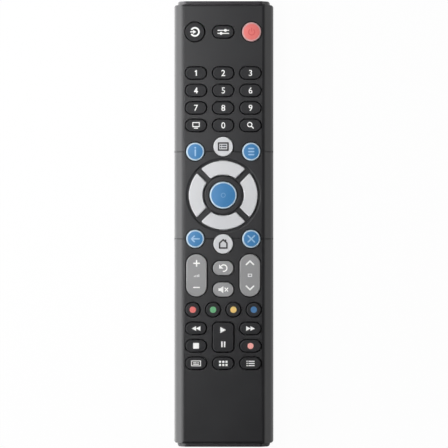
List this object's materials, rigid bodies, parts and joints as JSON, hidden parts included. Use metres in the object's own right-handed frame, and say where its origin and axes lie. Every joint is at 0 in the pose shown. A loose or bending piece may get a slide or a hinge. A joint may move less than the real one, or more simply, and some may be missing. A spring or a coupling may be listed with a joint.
{
  "type": "universal remote control",
  "caption": "Long slim hand-held universal remote control with a full keypad, a navigation ring, two rockers and a sliding battery door.",
  "frame": {"origin": "on the resting surface, under the middle of the body, which lies on its back", "axes": "+X across the keypad to the user's right, +Y along the body towards the infrared end, +Z out of the key face"},
  "size_m": [0.0462, 0.207, 0.0212],
  "materials": {
    "cover_plastic": "fine moulded grain",
    "rear_plastic": "spark-eroded grain",
    "window_plastic": "polished infrared filter",
    "key_rubber": "satin silicone",
    "key_white_cap": "satin",
    "key_grey_cap": "satin",
    "key_blue_cap": "satin with a pale rim",
    "key_red_cap": "satin with a pale rim",
    "board_laminate": "solder mask",
    "mat_silicone": "moulded silicone",
    "cell_wrap": "printed sleeve without words",
    "spring_steel": "plated wire",
    "contact_metal": "plated sheet",
    "lamp_epoxy": "clear tinted",
    "status_epoxy": "clear tinted",
    "chip_resin": "moulded resin",
    "can_metal": "drawn can",
    "screw_steel": "zinc plated"
  },
  "bodies": {
    "housing": {"front_cover": "cover_plastic", "rear_cover": "rear_plastic", "ir_window": "window_plastic", "circuit_board": "board_laminate", "keymat": "mat_silicone", "battery_cells": "cell_wrap", "battery_springs": "spring_steel", "contact_plates": "contact_metal", "ir_led": "lamp_epoxy", "status_led": "status_epoxy", "controller_chip": "chip_resin", "capacitor": "can_metal", "resonator": "can_metal", "housing_screws": "screw_steel"},
    "battery_door": {"battery_door": "rear_plastic"},
    "key_source": {"key_source": "key_rubber"},
    "key_setup": {"key_setup": "key_rubber"},
    "key_power": {"key_power": "key_red_cap"},
    "key_digit_1": {"key_digit_1": "key_rubber"},
    "key_digit_2": {"key_digit_2": "key_rubber"},
    "key_digit_3": {"key_digit_3": "key_rubber"},
    "key_digit_4": {"key_digit_4": "key_rubber"},
    "key_digit_5": {"key_digit_5": "key_rubber"},
    "key_digit_6": {"key_digit_6": "key_rubber"},
    "key_digit_7": {"key_digit_7": "key_rubber"},
    "key_digit_8": {"key_digit_8": "key_rubber"},
    "key_digit_9": {"key_digit_9": "key_rubber"},
    "key_tv": {"key_tv": "key_rubber"},
    "key_digit_0": {"key_digit_0": "key_rubber"},
    "key_search": {"key_search": "key_rubber"},
    "key_info": {"key_info": "key_blue_cap"},
    "key_guide": {"key_guide": "key_white_cap"},
    "key_menu": {"key_menu": "key_blue_cap"},
    "key_nav_up": {"key_nav_up": "key_white_cap"},
    "key_nav_left": {"key_nav_left": "key_white_cap"},
    "key_nav_down": {"key_nav_down": "key_white_cap"},
    "key_nav_right": {"key_nav_right": "key_white_cap"},
    "key_ok": {"key_ok": "key_blue_cap"},
    "key_back": {"key_back": "key_blue_cap"},
    "key_home": {"key_home": "key_white_cap"},
    "key_exit": {"key_exit": "key_blue_cap"},
    "rocker_volume": {"rocker_volume": "key_grey_cap"},
    "key_recall": {"key_recall": "key_grey_cap"},
    "key_mute": {"key_mute": "key_grey_cap"},
    "rocker_channel": {"rocker_channel": "key_grey_cap"},
    "key_red": {"key_red": "key_rubber"},
    "key_green": {"key_green": "key_rubber"},
    "key_yellow": {"key_yellow": "key_rubber"},
    "key_blue": {"key_blue": "key_rubber"},
    "key_rewind": {"key_rewind": "key_rubber"},
    "key_play_pause": {"key_play_pause": "key_rubber"},
    "key_forward": {"key_forward": "key_rubber"},
    "key_stop": {"key_stop": "key_rubber"},
    "key_record": {"key_record": "key_rubber"},
    "key_subtitle": {"key_subtitle": "key_rubber"},
    "key_apps": {"key_apps": "key_rubber"},
    "key_list": {"key_list": "key_rubber"}
  },
  "joints": [
    {"name": "battery_door_slide", "type": "slide", "parent": "housing", "child": "battery_door", "axis": [0, -1, 0], "range_m": [0, 0.085]},
    {"name": "key_source_press", "type": "slide", "parent": "housing", "child": "key_source", "axis": [0, 0, -1], "range_m": [0, 0.0008], "stiffness_N_per_m": 1200},
    {"name": "key_setup_press", "type": "slide", "parent": "housing", "child": "key_setup", "axis": [0, 0, -1], "range_m": [0, 0.0008], "stiffness_N_per_m": 1200},
    {"name": "key_power_press", "type": "slide", "parent": "housing", "child": "key_power", "axis": [0, 0, -1], "range_m": [0, 0.0008], "stiffness_N_per_m": 1200},
    {"name": "key_digit_1_press", "type": "slide", "parent": "housing", "child": "key_digit_1", "axis": [0, 0, -1], "range_m": [0, 0.0008], "stiffness_N_per_m": 1200},
    {"name": "key_digit_2_press", "type": "slide", "parent": "housing", "child": "key_digit_2", "axis": [0, 0, -1], "range_m": [0, 0.0008], "stiffness_N_per_m": 1200},
    {"name": "key_digit_3_press", "type": "slide", "parent": "housing", "child": "key_digit_3", "axis": [0, 0, -1], "range_m": [0, 0.0008], "stiffness_N_per_m": 1200},
    {"name": "key_digit_4_press", "type": "slide", "parent": "housing", "child": "key_digit_4", "axis": [0, 0, -1], "range_m": [0, 0.0008], "stiffness_N_per_m": 1200},
    {"name": "key_digit_5_press", "type": "slide", "parent": "housing", "child": "key_digit_5", "axis": [0, 0, -1], "range_m": [0, 0.0008], "stiffness_N_per_m": 1200},
    {"name": "key_digit_6_press", "type": "slide", "parent": "housing", "child": "key_digit_6", "axis": [0, 0, -1], "range_m": [0, 0.0008], "stiffness_N_per_m": 1200},
    {"name": "key_digit_7_press", "type": "slide", "parent": "housing", "child": "key_digit_7", "axis": [0, 0, -1], "range_m": [0, 0.0008], "stiffness_N_per_m": 1200},
    {"name": "key_digit_8_press", "type": "slide", "parent": "housing", "child": "key_digit_8", "axis": [0, 0, -1], "range_m": [0, 0.0008], "stiffness_N_per_m": 1200},
    {"name": "key_digit_9_press", "type": "slide", "parent": "housing", "child": "key_digit_9", "axis": [0, 0, -1], "range_m": [0, 0.0008], "stiffness_N_per_m": 1200},
    {"name": "key_tv_press", "type": "slide", "parent": "housing", "child": "key_tv", "axis": [0, 0, -1], "range_m": [0, 0.0008], "stiffness_N_per_m": 1200},
    {"name": "key_digit_0_press", "type": "slide", "parent": "housing", "child": "key_digit_0", "axis": [0, 0, -1], "range_m": [0, 0.0008], "stiffness_N_per_m": 1200},
    {"name": "key_search_press", "type": "slide", "parent": "housing", "child": "key_search", "axis": [0, 0, -1], "range_m": [0, 0.0008], "stiffness_N_per_m": 1200},
    {"name": "key_info_press", "type": "slide", "parent": "housing", "child": "key_info", "axis": [0, 0, -1], "range_m": [0, 0.0008], "stiffness_N_per_m": 1200},
    {"name": "key_guide_press", "type": "slide", "parent": "housing", "child": "key_guide", "axis": [0, 0, -1], "range_m": [0, 0.0008], "stiffness_N_per_m": 1200},
    {"name": "key_menu_press", "type": "slide", "parent": "housing", "child": "key_menu", "axis": [0, 0, -1], "range_m": [0, 0.0008], "stiffness_N_per_m": 1200},
    {"name": "key_nav_up_press", "type": "slide", "parent": "housing", "child": "key_nav_up", "axis": [0, 0, -1], "range_m": [0, 0.0008], "stiffness_N_per_m": 1200},
    {"name": "key_nav_left_press", "type": "slide", "parent": "housing", "child": "key_nav_left", "axis": [0, 0, -1], "range_m": [0, 0.0008], "stiffness_N_per_m": 1200},
    {"name": "key_nav_down_press", "type": "slide", "parent": "housing", "child": "key_nav_down", "axis": [0, 0, -1], "range_m": [0, 0.0008], "stiffness_N_per_m": 1200},
    {"name": "key_nav_right_press", "type": "slide", "parent": "housing", "child": "key_nav_right", "axis": [0, 0, -1], "range_m": [0, 0.0008], "stiffness_N_per_m": 1200},
    {"name": "key_ok_press", "type": "slide", "parent": "housing", "child": "key_ok", "axis": [0, 0, -1], "range_m": [0, 0.0008], "stiffness_N_per_m": 1200},
    {"name": "key_back_press", "type": "slide", "parent": "housing", "child": "key_back", "axis": [0, 0, -1], "range_m": [0, 0.0008], "stiffness_N_per_m": 1200},
    {"name": "key_home_press", "type": "slide", "parent": "housing", "child": "key_home", "axis": [0, 0, -1], "range_m": [0, 0.0008], "stiffness_N_per_m": 1200},
    {"name": "key_exit_press", "type": "slide", "parent": "housing", "child": "key_exit", "axis": [0, 0, -1], "range_m": [0, 0.0008], "stiffness_N_per_m": 1200},
    {"name": "rocker_volume_tilt", "type": "hinge", "parent": "housing", "child": "rocker_volume", "pos_m": [-0.0124, -0.02385, 0.0172], "axis": [1, 0, 0], "range_deg": [-3, 3], "stiffness_Nm_per_rad": 0.15},
    {"name": "key_recall_press", "type": "slide", "parent": "housing", "child": "key_recall", "axis": [0, 0, -1], "range_m": [0, 0.0008], "stiffness_N_per_m": 1200},
    {"name": "key_mute_press", "type": "slide", "parent": "housing", "child": "key_mute", "axis": [0, 0, -1], "range_m": [0, 0.0008], "stiffness_N_per_m": 1200},
    {"name": "rocker_channel_tilt", "type": "hinge", "parent": "housing", "child": "rocker_channel", "pos_m": [0.0124, -0.02385, 0.0172], "axis": [1, 0, 0], "range_deg": [-3, 3], "stiffness_Nm_per_rad": 0.15},
    {"name": "key_red_press", "type": "slide", "parent": "housing", "child": "key_red", "axis": [0, 0, -1], "range_m": [0, 0.0008], "stiffness_N_per_m": 1200},
    {"name": "key_green_press", "type": "slide", "parent": "housing", "child": "key_green", "axis": [0, 0, -1], "range_m": [0, 0.0008], "stiffness_N_per_m": 1200},
    {"name": "key_yellow_press", "type": "slide", "parent": "housing", "child": "key_yellow", "axis": [0, 0, -1], "range_m": [0, 0.0008], "stiffness_N_per_m": 1200},
    {"name": "key_blue_press", "type": "slide", "parent": "housing", "child": "key_blue", "axis": [0, 0, -1], "range_m": [0, 0.0008], "stiffness_N_per_m": 1200},
    {"name": "key_rewind_press", "type": "slide", "parent": "housing", "child": "key_rewind", "axis": [0, 0, -1], "range_m": [0, 0.0008], "stiffness_N_per_m": 1200},
    {"name": "key_play_pause_tilt", "type": "hinge", "parent": "housing", "child": "key_play_pause", "pos_m": [0, -0.05255, 0.0172], "axis": [1, 0, 0], "range_deg": [-3, 3], "stiffness_Nm_per_rad": 0.15},
    {"name": "key_forward_press", "type": "slide", "parent": "housing", "child": "key_forward", "axis": [0, 0, -1], "range_m": [0, 0.0008], "stiffness_N_per_m": 1200},
    {"name": "key_stop_press", "type": "slide", "parent": "housing", "child": "key_stop", "axis": [0, 0, -1], "range_m": [0, 0.0008], "stiffness_N_per_m": 1200},
    {"name": "key_record_press", "type": "slide", "parent": "housing", "child": "key_record", "axis": [0, 0, -1], "range_m": [0, 0.0008], "stiffness_N_per_m": 1200},
    {"name": "key_subtitle_press", "type": "slide", "parent": "housing", "child": "key_subtitle", "axis": [0, 0, -1], "range_m": [0, 0.0008], "stiffness_N_per_m": 1200},
    {"name": "key_apps_press", "type": "slide", "parent": "housing", "child": "key_apps", "axis": [0, 0, -1], "range_m": [0, 0.0008], "stiffness_N_per_m": 1200},
    {"name": "key_list_press", "type": "slide", "parent": "housing", "child": "key_list", "axis": [0, 0, -1], "range_m": [0, 0.0008], "stiffness_N_per_m": 1200}
  ]
}
